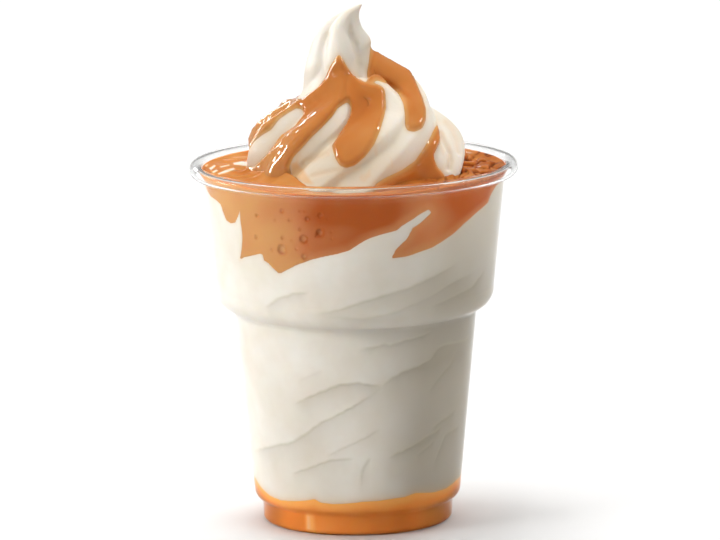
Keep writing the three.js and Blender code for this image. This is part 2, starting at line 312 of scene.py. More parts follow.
# Edges that the wall shows, in pixels. The front of each comes from here, and a function carries it on
# round the back.
UPPER_EDGE = [
    (205.8, 183.8), (208, 190.8), (211.3, 196.3), (216.7, 200.1), (221, 204.4), (223.4, 212.5),
    (226.4, 220.1), (230.8, 223.4), (235.1, 222.8), (238.4, 215.8), (239.7, 210.9), (240.8, 223.4),
    (242.4, 234.2), (242.4, 241.8), (241.6, 250.5), (240, 260), (244.9, 257.2), (252.5, 255.6),
    (260.1, 253.7), (262.8, 254.8), (264.4, 261.3), (267.6, 262.6), (273.1, 268.4), (278.5, 273.5),
    (281.7, 273), (287.2, 270), (295.8, 265.7), (309.9, 260.2), (322.9, 257), (338.1, 253.9),
    (349, 250.7), (357.6, 245.1), (365, 240.7), (372.1, 237.5), (381.9, 234.4), (391.6, 232),
    (397, 230.4), (402.5, 225.5), (412.2, 219.6), (420.9, 213.6), (428.5, 209.3), (431.2, 212.5),
    (425.2, 218.5), (419.8, 223.4), (412.8, 227.7), (410, 233.1), (406.8, 239.1), (401.4, 244),
    (396, 249.4), (392.7, 255.9), (392.4, 258.5), (399.2, 257.5), (405.7, 256.8), (412.2, 254.8),
    (420.9, 251.6), (431.7, 247.8), (442.6, 241.3), (453.4, 233.7), (464.3, 223.4), (475.1, 213.6),
    (482.7, 207.1), (487.6, 202.8), (489.7, 196.3), (492.4, 190.8), (495.7, 185.4),
]
LOWER_EDGE = [
    (256.4, 478), (261, 486.4), (270.2, 495.6), (280.9, 500.2), (293.2, 501), (305.4, 500.5),
    (314.6, 499), (320.7, 502.5), (333, 504), (348.3, 503.3), (365.1, 501.4), (380.4, 500.5),
    (389.6, 499), (403.4, 497.1), (415.6, 492.9), (434, 492.3), (446.2, 488), (455.4, 480.3),
    (462.3, 471.9),
]
# Folds in the ice cream: how deep, how wide the hollow and its painted shade on its lower side are, and the
# line in pixels.
FOLDS = [
    (0.9, 3.4, [(266, 307), (278, 299), (293, 294), (307.5, 292)]),
    (0.8, 4.5, [(318, 314), (340, 309.5), (367, 301), (393, 293.5), (421, 282), (451.5, 266)]),
    (0.6, 3.5, [(327, 317), (365, 319), (393, 313), (421, 301), (450, 283), (468, 275.5)]),
    (0.6, 3.0, [(431, 306), (455, 295.5), (472, 286), (483.5, 270)]),
    (0.7, 1.6, [(361, 350), (374, 347), (383.5, 343.5), (390, 345), (404, 340.5), (419.5, 336), (430, 332)]),
    (0.9, 3.0, [(472, 330), (464.5, 340.5), (447.5, 343.5), (438, 347), (431, 358.5), (417.5, 366),
                (400.5, 372.5), (391, 379), (382, 386.5)]),
    (0.9, 4.0, [(382, 386.5), (370.5, 385), (355.5, 383), (340.5, 385), (321.5, 391.5), (297, 402.5)]),
    (0.8, 4.5, [(382, 386.5), (373, 394.5), (354.5, 406), (333, 417.5), (320.5, 423), (307, 433.5),
                (293, 442), (279.5, 445), (255, 450.5)]),
    (0.5, 3.0, [(379, 430), (362, 439.5), (342, 449), (327, 456)]),
    (0.7, 2.6, [(353, 459), (339, 459.5), (327, 461), (311.5, 467), (293, 473.5)]),
    (0.7, 1.8, [(370.5, 458), (365, 465), (362, 472.5), (360.5, 479.5)]),
    (1.0, 1.4, [(391, 456), (403.5, 450.5), (415.5, 443.5), (429.5, 434.5), (440, 428)]),
    (0.5, 1.4, [(417, 455), (425, 448), (434, 440.5)]),
    (0.5, 2.0, [(454, 410.5), (443, 419), (432.5, 426.5)]),
    (0.4, 2.0, [(434, 462), (438.5, 451), (444.5, 434.5), (458.5, 425)]),
    (0.4, 2.0, [(429, 390.5), (438, 377.5), (449.5, 364), (457, 345.5)]),
    (0.3, 2.0, [(299, 380), (310.5, 375.5), (321.5, 370.5)]),
]
BACK_FOLDS = 15
BACK_FOLD_ANGLES = (82, 194)  # where they start
BACK_FOLD_HEIGHTS = (20, 72)
CREASE_WIDTH = 0.32
# Bubbles in the upper sauce on the wall: place and radius in pixels.
BUBBLES = [
    (256.8, 215.2, 2.1), (281.7, 210.9, 2.1), (274.7, 220.1, 1.3), (289.3, 220.1, 1.9), (299.6, 210.9, 1.1),
    (304.5, 211.4, 1.1), (307.2, 219, 2.6), (320.2, 215.8, 3), (327.3, 219, 0.9), (299.6, 229.3, 1.6),
    (319.7, 233.1, 3.9), (255.7, 236.9, 2.1), (282.3, 237.5, 1.9), (291, 240.2, 1.3), (303.4, 239.1, 4.2),
    (307.2, 245.1, 1.5), (331.6, 232, 1.3), (332.2, 239.1, 1.3), (271.4, 249.4, 1.6), (281.7, 249.4, 5),
    (296.4, 248.9, 1.5), (304, 256.4, 3), (296.9, 263.5, 1.1), (316.4, 235.8, 1.8),
]
BACK_BUBBLES = 26
BUBBLE_DEPTH = 0.65  # of a bubble's radius
HIDDEN_WALL = (82, 280, 2.0)  # where the picture shows no wall: from, to before, and in steps of
EDGE_JOIN = 22.0  # degrees over which an edge's hidden part leaves its shown part
WALL_FROM, WALL_TO = -120, 240  # the angles between which a grid's columns run
LINE_MARGIN = 90  # degrees of a line that count past those
# A grid's columns: how many, a stretch where they lie closer, and its weight, where 0.5 is no closer.
FILL_COLUMNS = (302, (-85, 85), 0.62)
FILL_ROWS = np.linspace(7.5, 101, 312)
FOOT_COLUMNS = (420, (0, 0), 0.5)
FOOT_ROWS = np.concatenate([np.linspace(WALL - 0.2, 4, 14), np.linspace(4.2, 18, 56)])
CORE_R = 12.0  # what fills the cup is closed by flat ends down to about here
SAUCE_GAP = 0.03  # the sauce stands this far behind the ice cream's outermost surface
SETBACK = 0.9  # how fast one filling draws back from the wall behind another, for each mm past the edge
DEEPEST_R = 14.0  # the ice cream draws back no further in than this


def wall_radius(z):
    """How far out the contents reach at a height, a little way into the wall."""
    profile = side(WALL - EMBED)
    return np.interp(z, profile[:, 1], profile[:, 0])


def rays(pixels):
    """Directions from the camera through pixels of the picture."""
    right, up, forward = camera_axes()
    pixels = np.asarray(pixels, float)
    x = pixels[:, 0] - PICTURE[0] / 2
    y = PICTURE[1] / 2 - pixels[:, 1]
    return forward * FOCAL_PIXELS + x[:, None] * right + y[:, None] * up


def on_wall(pixels):
    """The angle round the cup and the height at which pixels of the picture fall on its wall."""
    start = np.array(CAMERA_AT)
    way = rays(pixels)
    z = np.full(len(way), NECK_Z)
    a = (way[:, :2] ** 2).sum(1)
    b = way[:, :2] @ start[:2]
    for _ in range(12):
        c = start[:2] @ start[:2] - wall_radius(z) ** 2
        t = (-b - np.sqrt(np.maximum(b * b - a * c, 0))) / a
        at = start + way * t[:, None]
        z = at[:, 2]
    return np.degrees(np.arctan2(at[:, 0], -at[:, 1])), z


def sauce_line(angle):
    """The lower edge of the upper sauce where the picture doesn't show it: uneven runs."""
    bent = angle + 14 * noise_at(around(angle, UPPER_R, 0), 0.06)
    bent += 5 * noise_at(around(angle, UPPER_R, 9), 0.2)
    depth = np.zeros_like(angle)
    for at, deep, left, right in SAUCE_RUNS:
        off = within_turn(bent - at)
        spread = np.where(off < 0, left, right)
        depth = np.maximum(depth, deep * smoothstep(0, 1, 1 - np.abs(off) / spread))
    line = SAUCE_LINE - 0.8 * depth + 4 * noise_at(around(angle, UPPER_R, 4), 0.08)
    return line + noise_at(around(angle, UPPER_R, 2), 0.35)


def base_line(angle):
    """The upper edge of the lower sauce where the picture doesn't show it."""
    a = np.radians(angle)
    tilt = BASE_SAUCE["tilt"] * np.cos(a - math.radians(BASE_SAUCE["high"]))
    ripple = BASE_SAUCE["ripple"] * np.sin(3 * a + math.radians(40))
    return BASE_SAUCE["level"] + tilt + ripple + 0.25 * np.sin(9 * a)


def whole_edge(pixels, back):
    """A line right round the wall: by pixels at the front and by a function at the back."""
    angle, z = on_wall(pixels)
    rest = np.arange(*HIDDEN_WALL)
    jumps = z[[0, -1]] - back(angle[[0, -1]])
    joined = back(rest) + jumps[1] * bell(rest - angle[-1], EDGE_JOIN)
    joined += jumps[0] * bell(rest - angle[0] - 360, EDGE_JOIN)
    line = np.concatenate([np.stack([angle, z], -1), np.stack([rest, joined], -1)])
    return np.concatenate([line - (360, 0), line, line + (360, 0)])


def edge_distance(angle, z, line, radius):
    """How far above a line right round the wall points of it are, in millimetres; less than 0 is below."""
    near = line[(line[:, 0] > WALL_FROM - LINE_MARGIN) & (line[:, 0] < WALL_TO + LINE_MARGIN)]
    unroll = math.radians(radius)
    away, _ = from_line(angle * unroll, z, near * (unroll, 1))
    return np.where(under_line(angle, z, near), -away, away)


def wall_angles(count, fine, weight):
    """Angles of a grid's columns, which lie closer in one stretch."""
    places = np.linspace(WALL_FROM, WALL_TO, 2881)
    weighting = np.where((places > fine[0]) & (places < fine[1]), weight, 1 - weight)
    total = np.concatenate([[0], np.cumsum((weighting[1:] + weighting[:-1]) / 2)])
    return np.interp(np.arange(count) / count * total[-1], total, places)


def all_folds():
    """The folds that the picture shows, and others like them on the rest of the wall."""
    made = []
    for deep, wide, line in FOLDS:
        at = np.stack(on_wall(line), -1)
        made.append((deep, wide, at if at[0, 0] < at[-1, 0] else at[::-1]))
    draws = np.random.default_rng(11)
    way = np.linspace(0, 1, 6)
    for i in range(BACK_FOLDS):
        long, climb, bow, deep, wide = draws.uniform((24, 0.15, -3, 0.4, 1.6), (46, 0.45, 3, 0.9, 4.4))
        angle = mix(*BACK_FOLD_ANGLES, i * 0.618 % 1) + long * way
        z = mix(*BACK_FOLD_HEIGHTS, i * 0.37 % 1) + climb * long * way + bow * np.sin(3.1 * way)
        made.append((deep, wide, np.stack([angle, z], -1)))
    return made


def folds(angle, z):
    """How far the folds take the ice cream back from the wall, and the painted shade along their creases and
    in bands on their lower sides.
    """
    depth, line, shade_band = np.zeros((3,) + angle.shape)
    unroll = math.radians(FOLDS_R)
    ragged = z + 0.35 * noise_at(around(angle, FOLDS_R, z), 0.5)
    for deep, wide, at in all_folds():
        away, part = from_line(angle * unroll, ragged, at * (unroll, 1))
        crease_shade = bell(away, CREASE_WIDTH)
        slope = np.exp(-away / wide) * smoothstep(0, 0.3, away) * (part < 0)
        along = (angle - at[0, 0]) / (at[-1, 0] - at[0, 0])
        ends = deep * smoothstep(-0.1, 0.15, along) * smoothstep(-0.1, 0.15, 1 - along)
        depth = np.maximum(depth, (0.15 * crease_shade + 0.45 * slope) * ends)
        # painted shade: dark along each crease, and in a band on the fold's lower side
        line = np.maximum(line, 0.45 * crease_shade * ends)
        shade_band = np.maximum(shade_band, 0.5 * slope * ends)
    edge_on = smoothstep(50, 66, np.abs(angle)) * (1 - smoothstep(80, 95, np.abs(angle)))
    depth *= 1 - 0.8 * edge_on
    return FOLD_LIMIT * np.tanh(depth / FOLD_LIMIT), line, shade_band


def make_fill():
    """The ice cream that the wall shows, from the lower sauce to under the pool."""
    angles = wall_angles(*FILL_COLUMNS)
    angle, z = np.meshgrid(angles, FILL_ROWS)
    above = edge_distance(angle, z, whole_edge(UPPER_EDGE, sauce_line), UPPER_R)
    below = -edge_distance(angle, z, whole_edge(LOWER_EDGE, base_line), LOWER_R)
    folded, line, shade_band = folds(angle, z)
    depth = SETBACK * np.maximum(0, above) + 0.8 * np.maximum(0, below) + folded
    body = around(angle, np.maximum(wall_radius(z) - depth, DEEPEST_R), z)
    low, high = [(CORE_R - 2, FILL_ROWS[0])], [(CORE_R, FILL_ROWS[-1])]
    stain = fading(-below, 0.55, 1.0) + fading(-above, 0.25, 0.5)
    turn = within_turn(angle)
    # Painted shade: the ice cream on the wall darker towards the right and low down, and in bands below the
    # folds, with a random tone over it.
    weighting = smoothstep(-8, 62, turn) * (1 - smoothstep(100, 170, turn))
    weighting *= 0.75 + 0.25 * smoothstep(80, 50, z)
    weighting += 0.25 * noise_at(around(angle, 38, z) * (1, 1, 0.4), 0.05) + shade_band
    looks = {"weighting": np.clip(weighting, 0, 1), "crease_shade": line, "stain": np.clip(stain, 0, 1)}
    return ring_object("ice_cream_fill", angles, low, body, high, looks)


def make_base_sauce():
    """The sauce in the cup's foot, up to its wavy edge."""
    angles = wall_angles(*FOOT_COLUMNS)
    angle, z = np.meshgrid(angles, FOOT_ROWS)
    above = edge_distance(angle, z, whole_edge(LOWER_EDGE, base_line), LOWER_R)
    r = wall_radius(z) - SAUCE_GAP - SETBACK * np.maximum(0, above)
    recess_top = RECESS + WALL + 0.3
    low = [(CORE_R - 2, recess_top), (RECESS_R, recess_top), (FOOT_INNER_R + 0.5, FOOT_ROWS[0])]
    high = [(CORE_R, FOOT_ROWS[-1])]
    looks = {"depth": foot_sauce_depth(angle, z, -above)}
    return ring_object("caramel_foot", angles, low, around(angle, r, z), high, looks)


# ------------ the sauce in the cup

POOL_LEVEL = 103.0
POOL_DIP = 0.6
WALL_CLIMB = (0.9, 1.4)  # how high the pool climbs the wall, and over what width
SWIRL_CLIMB = (1.6, 1.8)
FLOW_CLIMB = (1.7, 4.5)  # the same where the left stream flows into it
POOL_HOLE = 15.0
POOL_COLUMNS = (560, (-52, 0), 0.72)
POOL_ROWS = np.concatenate([np.linspace(76, 82, 10), np.linspace(82.3, 102, 66)])
POOL_RINGS = 90
POOL_FLOOR = 90.0
POOL_ROOT_R = 30.0
LEAN = 0.25  # how far the pool's edge leans out over the mouth, for each mm of height
# Where a painted highlight lies on the sauce in the foot: its angle round the cup, and its width.
FOOT_HIGHLIGHT = -30
FOOT_HIGHLIGHT_WIDTH = 3.4
CRACK_WIDTH = 0.042  # in the noise's own value
# Streaks of melted ice cream and painted highlights on the pool, as outlines in pixels.
POOL_STREAKS_AND_HIGHLIGHTS = [
    [(233, 163), (242, 161.2), (251.6, 163.3), (254, 166), (249, 166.6), (241, 165.3), (234, 164.6)],
    [(217.6, 173.5), (225.5, 170), (233.3, 167.8), (235.3, 169), (228, 172), (219, 174.6)],
    [(209, 168.3), (214.4, 164.8), (215.7, 166), (211, 170.4)],
    [(211.6, 172), (216.3, 169.4), (218, 170.6), (213.6, 173.2)],
    [(205, 165.4), (207.6, 164), (208, 165.2), (206, 167)],
    [(220, 166.5), (229, 164.6), (229.4, 165.4), (221, 167.4)],
]


def foot_sauce_depth(angle, z, below):
    """How thick and dark the lower sauce is: pale along its upper edge, darker from the front round to the
    back, and pale in a streak that is a painted highlight.
    """
    turn = within_turn(angle)
    depth = 1.0 + 0.9 * smoothstep(34, 68, np.abs(turn + 4)) + 0.4 * noise_at(around(angle, 27, z), 0.13)
    depth = np.clip(depth * smoothstep(-0.5, 4.5, below), 0, 2)
    # a painted highlight: a pale upright streak on the front left of the foot
    off = turn - FOOT_HIGHLIGHT
    streak = np.exp(-((off / FOOT_HIGHLIGHT_WIDTH) ** 4)) * smoothstep(0.6, 1.6, z) * (1 - smoothstep(5, 7, z))
    return depth - (depth + 0.4) * streak * (0.75 - 0.1 * off)


def wall_sauce_depth(angle, z, above):
    """How thick and dark the upper sauce on the wall is: thin on the left, darkest in the middle."""
    turn = within_turn(angle)
    front = 0.15 + 1.7 * smoothstep(-34, -4, turn) - 0.9 * smoothstep(8, 24, turn)
    front += 0.8 * smoothstep(30, 48, turn)
    depth = mix(front, 1, smoothstep(60, 100, np.abs(turn)))
    depth += 0.45 * noise_at(around(angle, UPPER_R, z), 0.12)
    depth += 0.5 * smoothstep(91, 98, z) * smoothstep(-45, -20, turn)
    return np.clip(depth * (0.55 + 0.45 * smoothstep(0, 3, above)), 0, 2)


def bubble_dents(angle, z):
    """How far bubbles dent the sauce on the wall, and the painted shade round their rims, heaviest on the
    lower right, with paler middles.
    """
    depth, shade = np.zeros((2,) + angle.shape)
    middles = np.stack(on_wall([bubble[:2] for bubble in BUBBLES]), -1).tolist()
    radii = [bubble[2] * MM_PER_PIXEL for bubble in BUBBLES]
    draws = np.random.default_rng(5)
    for _ in range(BACK_BUBBLES):
        turn, height, size = draws.uniform((95, 84, 0.5), (232, 96, 1.1))
        middles.append((turn, height))
        radii.append(size**2)
    for (a0, z0), radius in zip(middles, radii):
        x, y = (angle - a0) * math.radians(BUBBLES_R) / radius, (z - z0) / radius
        away = np.hypot(x, y)
        depth += BUBBLE_DEPTH * radius * np.sqrt(np.maximum(0, 1 - away**2))
        # painted shade on the bubble's rim, heavier on its lower right, and a paler middle
        shade += (0.6 + 0.3 * (x - y)) * bell(away - 0.9, 0.3) - 0.3 * bell(away, 0.5)
    return depth, shade


def cracked(at):
    """Where the pool's skin has broken: 0 to 1 in the cracks, and how high each flake stands."""
    flat = at * (1, 0.5, 0)
    bends = [noise_at(flat, 0.3, 5.0), noise_at(flat, 0.3, 8.0), 0 * at[..., 0]]
    bent = flat + 1.6 * np.stack(bends, -1)
    first, second = noise_at(bent, 0.2, 2.0), noise_at(bent * (1.3, 1, 1), 0.26, 6.0)
    lines = np.minimum(np.abs(first), np.abs(second))
    flakes = 0.6 * np.tanh(8 * first) + 0.4 * np.tanh(8 * second)
    return bell(lines, CRACK_WIDTH) * smoothstep(18, 27, at[..., 0]), flakes


def streaks_and_highlights(at):
    """Where melted ice cream streaks and painted highlights whiten the pool, from 0 to 1."""
    picture = to_picture(at.reshape(-1, 3))
    away = np.max([outline_distance(picture, streak) for streak in POOL_STREAKS_AND_HIGHLIGHTS], axis=0)
    return smoothstep(-0.7, 0.5, away).reshape(at.shape[:-1])


def pool_height(at, from_wall, swirl):
    """The pool's surface: a little up the wall and the swirl, wavy on the left, flaky on the right."""
    x, y = at[..., 0], at[..., 1]
    level = at * (1, 1, 0) + (0, 0, POOL_LEVEL)
    near = [swirl.find_nearest(Vector(point))[3] for point in level.reshape(-1, 3)]
    away = np.array(near).reshape(x.shape)
    front = smoothstep(24, 36, -y) * (1 - smoothstep(16, 30, np.abs(x + 5)))
    height = POOL_LEVEL - POOL_DIP + (fading(from_wall, *WALL_CLIMB) - front)
    height += fading(away, *SWIRL_CLIMB) * (1 - 0.8 * front)
    flow_foot = smoothstep(-10, -17, x) * smoothstep(4, 14, -y)
    height += fading(away, *FLOW_CLIMB) * flow_foot * smoothstep(0, 5, from_wall)
    flow = noise_at(at * (0.5, 1.4, 1), 0.22, 3.0)
    cracks, flakes = cracked(at)
    rough = 0.7 * noise_at(level, 0.09) + 0.9 * smoothstep(-18, -30, x) * flow
    rough += smoothstep(18, 30, x) * (0.4 * flow + 0.8 * flakes - cracks)
    return height + rough * smoothstep(0, 4, from_wall)


def make_pool(swirl):
    """The sauce round the swirl's foot, with its runs down the inside of the wall.

    It also gives the number of its faces that lie on the wall.
    """
    angles = wall_angles(*POOL_COLUMNS)
    angle, z = np.meshgrid(angles, POOL_ROWS)
    above = edge_distance(angle, z, whole_edge(UPPER_EDGE, sauce_line), UPPER_R)
    dents, shade = bubble_dents(angle, z)
    r = wall_radius(z) - SAUCE_GAP - SETBACK * np.maximum(0, -above) - dents
    r += np.maximum(0, z - MOUTH_Z) * LEAN
    edge = r[-1]
    top_r = mix(edge, POOL_HOLE, np.linspace(0, 1, POOL_RINGS)[:, None])
    top = around(np.broadcast_to(angles, top_r.shape), top_r, 0)
    top[..., 2] = pool_height(top, edge - top_r, swirl)
    body = np.concatenate([around(angle, r, z), top])
    low, high = [(POOL_ROOT_R, POOL_ROWS[0])], [(POOL_HOLE, POOL_FLOOR)]
    # the bubbles' painted shade on the sauce on the wall
    side_depth = np.clip(wall_sauce_depth(angle, z, above) + shade, 0, 2)
    top_depth = 0.8 + 0.6 * smoothstep(-10, 25, top[..., 0]) + 0.5 * noise_at(top, 0.16)
    top_depth = np.clip(top_depth, 0, 2) + 2.0 * cracked(top)[0]
    # streaks of melted ice cream and painted highlights whiten the pool
    top_depth -= (top_depth + 0.9) * streaks_and_highlights(top)
    looks = {"depth": np.concatenate([side_depth, top_depth])}
    return ring_object("caramel_pool", angles, low, body, high, looks), z.size


# ------------ the swirl

# A ridge's way up: share of its turn, distance from the axis, height, half width, how far it faces up
SKIRT = np.array([
    (0.0, 28.8, 95, 8, 0),
    (0.14, 30.8, 104, 8.4, 4),
    (0.3, 30.5, 110.4, 8, 14),
    (0.46, 28, 115.4, 7.4, 30),
    (0.64, 23, 120.2, 6.5, 42),
    (0.82, 16.8, 124.4, 5.5, 46),
    (0.96, 11, 127.6, 4.6, 40),
    (1.08, 4, 126, 4, 60),
])
# The horn: height, distance of its middle to the left, distance of its ridges from there, half width
HORN = np.array([
    (131.4, 3.6, 10.4, 4.8),
    (136, 3.4, 9.4, 4.4),
    (140.4, 3.4, 7.9, 3.6),
    (144.4, 3, 5.6, 2.6),
    (148, 0.7, 3, 1.6),
    (150.4, -2.9, 0.4, 0.6),
])
HORN_TURN = -20
HORN_LIFT = 0.25
HORN_JOIN = 4
HOOK_START = 0.6
FOOT_SHARE = 0.3  # how far up a ridge its foot spreads
BULGE_Z = 139.5
BULGE_REACH = 4.0
# The ridges: the angle at the foot, the turn on the way up, how far the top hooks back, the rise, how far
# the ridge stands out at its low and its high end, and how much more at its foot. Some climb the horn, at
# an angle of their own, and may bulge there.
RIDGE_WAY = ("base", "twist", "hook", "rise", "low", "high")
RIDGE_KEYS = (*RIDGE_WAY, "foot", "horn", "bulge")
RIDGE_ROWS = [
    (-118, 26, 0, -2, 3, -3, 0, None, 0),
    (-76, 10, 0, -2.5, 0.8, 1.2, 0, None, 0),
    (-54, 48, 0, 1, -0.2, -0.4, 5, 4, 0),
    (-26, 98, 58, 3.4, 0, 2.5, 11, None, 0),
    (-4, 104, 0, 6.4, 0.2, 1.0, 11, 100, 1.0),
    (48, 96, 0, -0.5, 4.8, -3, 0, None, 0),
    (98, 96, 0, 1, 0.4, 0, 0, 190, 0),
    (146, 90, 0, -1, 0.3, 0, 0, None, 0),
    (196, 80, 0, 0, 0, -2, 0, 275, 0),
    (22, 98, 0, 3, -3, -0.5, 0, None, 0),
    (-34, 40, 0, -9, 2, -14, 8, None, 0),
]
RIDGES = [dict(zip(RIDGE_KEYS, row)) for row in RIDGE_ROWS]
RIDGE_STEPS = 90
RIDGE_SIDES = 30
RIDGE_SHARPNESS = 1.8
RIDGE_ROOT = 0.3  # how far a ridge reaches inwards, as a share of how far it stands out
# What the ridges lie on: distance of its middle to the left, radius, height
CORE = [
    (0, 25.5, 94), (0, 25.5, 106), (0, 24.4, 112), (0.4, 20.6, 117), (1.4, 15.5, 121), (3, 11, 126),
    (3.8, 7.6, 132), (3.8, 6, 138), (3.2, 3.6, 143), (1.6, 1.5, 147),
]
CORE_STEPS = 60
CORE_SIDES = 48
SWIRL_VOXEL = 0.5
SMALLEST_PART = 100  # quads
FRONT_HALF = 10.0  # y: in front of it, what the camera doesn't see lies in a groove between seen parts
# Folds in the swirl: how deep, and the line in pixels.
SWIRL_FOLDS = [
    (0.8, [(439.5, 131), (442.5, 138), (446.2, 145.6), (449.8, 152.8), (450.6, 161), (449.4, 168)]),
    (0.3, [(446, 122), (452, 131), (456.5, 141), (459, 152)]),
    (0.3, [(304, 163), (316, 158), (330, 151)]),
    (0.25, [(312, 176), (328, 172), (340, 170)]),
]
FOLD_REACH = 0.7
FOLD_TINT_REACH = 1.1
# Where the swirl's narrowest clefts are, as outlines in pixels: the whole of the first, and of the second
# what the camera doesn't see.
CLEFT = [(360, 58), (366, 48), (376, 44), (376, 74), (372, 84), (362, 82), (359, 70)]
POCKET = [(370, 72), (392, 72), (408, 88), (413, 104), (400, 112), (386, 102), (372, 92)]
CLEFT_PULL = 0.01
SIGHT_START = 0.4  # how far over the surface a look towards the camera starts
SIGHT_LENGTH = 80
# Tints of sauce colour on the swirl: how strong, and the outline in pixels. The first is a film of sauce,
# the second, under the middle tongue, a painted reflection of the sauce, and the third a peach tint on the
# lobe at the right.
TINTS = [
    (0.75, [(290, 163), (296, 162), (302.5, 168.6), (309, 177.7), (313, 184), (305, 184.2), (300, 180.3),
            (291, 177.7)]),
    (0.3, [(335.7, 176.4), (342.8, 172.5), (350.6, 169.3), (361, 166), (359.7, 169.3), (350.6, 173.2),
           (340.2, 176.4)]),
    (0.3, [(440, 141), (443.5, 143), (445, 151), (443, 155), (440.5, 150)]),
]


def row_at(rows, value):
    """The row of a table at a value of its first column."""
    return [np.interp(value, rows[:, 0], column) for column in rows.T]


def on_skirt(ridge, share):
    """A ridge's middle at a share of its way up, the way it faces there, and its half width."""
    _, r, z, half, lift = row_at(SKIRT, share)
    hooked = max(0, (share - HOOK_START) / (1 - HOOK_START))
    angle = ridge["base"] + ridge["twist"] * share - ridge["hook"] * hooked**2
    stands = mix(ridge["low"], ridge["high"], share)
    stands += ridge["foot"] * max(0, 1 - share / FOOT_SHARE) ** 2
    at = around(angle, r + stands, z + ridge["rise"] * share)
    face = around(angle, math.cos(math.radians(lift)), math.sin(math.radians(lift)))
    return at, face, half


def on_horn(angle, height, bulge=0):
    """The same for a ridge that climbs the horn, at a height."""
    z, left, r, half = row_at(HORN, height)
    r += bulge * math.exp(-(((height - BULGE_Z) / BULGE_REACH) ** 2))
    foot, tip = HORN[0][0], HORN[-1][0]
    turned = angle + HORN_TURN * (height - foot) / (tip - foot)
    at = around(turned, r, z) - (left, 0, 0)
    return at, around(turned, 1, HORN_LIFT), half


def ridge_places(ridge):
    """The places along a ridge, up the skirt and for some up the horn."""
    places = [on_skirt(ridge, row[0]) for row in SKIRT]
    if ridge["horn"] is not None:
        places = places[:-2]
        foot = places[-1][0][2] + HORN_JOIN
        places += [on_horn(ridge["horn"], row[0], ridge["bulge"]) for row in HORN if row[0] > foot]
    return places


def sweep_frames(places, steps):
    """Points along a line of places, with the directions outwards and across, and the half width."""
    shares = np.linspace(0, 1, steps)
    at, out, half = (through([place[k] for place in places], shares) for k in range(3))
    along = np.gradient(at, axis=0)
    along /= np.linalg.norm(along, axis=1)[:, None]
    out -= along * (out * along).sum(1)[:, None]
    out /= np.linalg.norm(out, axis=1)[:, None]
    return at, out, np.cross(along, out), half


def ridge_rings(ridge):
    """Sections along a ridge, broad at its crest and flat towards its root."""
    at, out, across, half = sweep_frames(ridge_places(ridge), RIDGE_STEPS)
    a = np.arange(RIDGE_SIDES) * 2 * np.pi / RIDGE_SIDES
    outwards = np.cos(a) * np.where(np.cos(a) > 0, 1, RIDGE_ROOT) - 1
    sideways = np.sign(np.sin(a)) * np.abs(np.sin(a)) ** RIDGE_SHARPNESS
    offset = outwards[None, :, None] * out[:, None] + sideways[None, :, None] * across[:, None]
    return at[:, None] + offset * half[:, None, None]


def core_rings():
    rows = through(CORE, np.linspace(0, 1, CORE_STEPS))
    angles = np.arange(CORE_SIDES) * 360 / CORE_SIDES
    return [around(angles, r, z) - (left, 0, 0) for left, r, z in rows]


def remeshed(parts, voxel):
    """One skin round several overlapping solids, as points in millimetres and quads."""
    points, faces, start = [], [], 0
    for rings in parts:
        part_points, part_faces = closed_rings(rings)
        points.append(part_points)
        faces += [[start + i for i in face] for face in part_faces]
        start += len(part_points)
    mesh = bpy.data.meshes.new("rough")
    mesh.from_pydata(np.concatenate(points).tolist(), [], faces)
    rough = bpy.data.objects.new("rough", mesh)
    bpy.context.scene.collection.objects.link(rough)
    modifier = rough.modifiers.new("skin", "REMESH")
    modifier.mode = "VOXEL"
    modifier.voxel_size = voxel
    skin = rough.evaluated_get(bpy.context.evaluated_depsgraph_get()).to_mesh()
    made = np.empty(len(skin.vertices) * 3)
    skin.vertices.foreach_get("co", made)
    quads = np.array([list(face.vertices) for face in skin.polygons])
    rough.to_mesh_clear()
    bpy.data.objects.remove(rough)
    bpy.data.meshes.remove(mesh)
    return made.reshape(-1, 3), quads


def in_large_part(quads):
    """True for quads of a part with at least SMALLEST_PART of them, which is no stray scrap."""
    label = np.arange(quads.max() + 1)
    before = None
    while before is None or (label != before).any():
        before = label.copy()
        np.minimum.at(label, quads, label[quads].min(1)[:, None])
        label = label[label]
    part = label[quads[:, 0]]
    return np.bincount(part)[part] >= SMALLEST_PART


def compacted(quads):
    """The points that quads use, and the quads with their numbers among those."""
    used, places = np.unique(quads, return_inverse=True)
    return used, places.reshape(-1, 4)


def sides_of(quads):
    """The four sides of each quad, from point to point."""
    return np.concatenate([quads[:, [k, (k + 1) % 4]] for k in range(4)])


def neighbour_sums(field, a, b):
    """For each point, the sum of the values at the other ends of its edges."""
    count = len(field)
    sums = [np.bincount(a, values[b], count) + np.bincount(b, values[a], count) for values in field.T]
    return np.stack(sums, -1)


def relaxed(values, edges, times):
    """Values at points, moved halfway to the mean of their neighbours a number of times."""
    field = np.array(values, float).reshape(len(values), -1)
    a, b = edges.T
    number = np.bincount(edges.ravel(), minlength=len(field))
    for _ in range(times):
        mean = neighbour_sums(field, a, b) / np.maximum(number, 1)[:, None]
        field += 0.5 * (mean - field)
    return field.reshape(np.shape(values))


